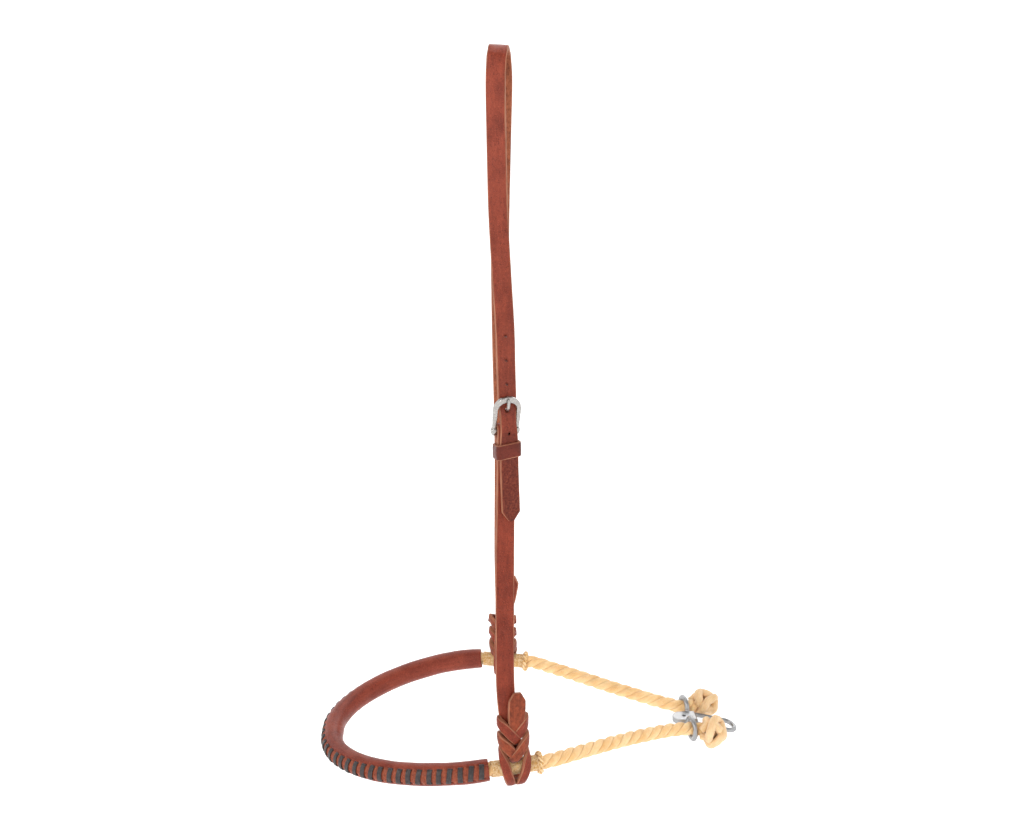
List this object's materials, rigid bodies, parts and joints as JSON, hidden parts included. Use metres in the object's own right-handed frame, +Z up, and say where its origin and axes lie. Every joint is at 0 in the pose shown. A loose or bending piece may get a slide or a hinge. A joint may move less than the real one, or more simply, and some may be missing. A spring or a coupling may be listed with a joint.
{
  "type": "rope tie-down noseband",
  "caption": "Rope noseband with a laced leather nose, hung from a buckled leather crown strap, with a cast chin fitting for a tie-down strap.",
  "frame": {"origin": "centre of the crown strap's bend over the poll", "axes": "+X from the nose to the chin, -Y towards the buckle (near) side, +Z up"},
  "size_m": [0.319, 0.1752, 0.5092],
  "materials": {
    "strap_leather": "oiled harness leather, smooth grain face, rough flesh side",
    "cover_leather": "oiled harness leather, wrapped round the rope",
    "keeper_leather": "oiled harness leather",
    "lace": "flat dark lace",
    "rope": "hard laid three-strand rope, pale straw",
    "twine": "waxed twine",
    "thread": "waxed thread",
    "buckle_steel": "satin stainless steel",
    "fitting_steel": "cast and tumbled stainless steel"
  },
  "bodies": {
    "headstall": {"crown_strap": "strap_leather", "far_blood_knot": "strap_leather", "near_hanger": "strap_leather", "near_blood_knot": "strap_leather", "hanger_stitching": "thread"},
    "buckle": {"buckle_frame": "buckle_steel"},
    "tongue": {"buckle_tongue": "buckle_steel"},
    "keeper": {"keeper_loop": "keeper_leather", "keeper_seam": "thread"},
    "noseband": {"nose_rope": "rope", "nose_cover": "cover_leather", "nose_lacing": "lace", "near_whipping": "twine", "far_whipping": "twine", "near_stop_knot": "twine", "far_stop_knot": "twine", "near_end_knot": "rope", "far_end_knot": "rope"},
    "fitting": {"chin_fitting": "fitting_steel"}
  },
  "joints": [
    {"name": "noseband_tilt", "type": "hinge", "parent": "headstall", "child": "noseband", "pos_m": [0, 0, -0.46998], "axis": [0, 1, 0], "range_deg": [-10, 10]},
    {"name": "fitting_swing", "type": "hinge", "parent": "noseband", "child": "fitting", "pos_m": [0.139, 0, -0.4845], "axis": [0, 1, 0], "range_deg": [-15, 15]},
    {"name": "buckle_swing", "type": "hinge", "parent": "headstall", "child": "buckle", "pos_m": [0, -0.04, -0.23336], "axis": [1, 0, 0], "range_deg": [0, 4]},
    {"name": "tongue_swing", "type": "hinge", "parent": "buckle", "child": "tongue", "pos_m": [0, -0.04, -0.23336], "axis": [1, 0, 0], "range_deg": [0, 2]},
    {"name": "keeper_slide", "type": "slide", "parent": "headstall", "child": "keeper", "axis": [0, -0.1323, -0.9912], "range_m": [-0.001, 0.022]}
  ]
}
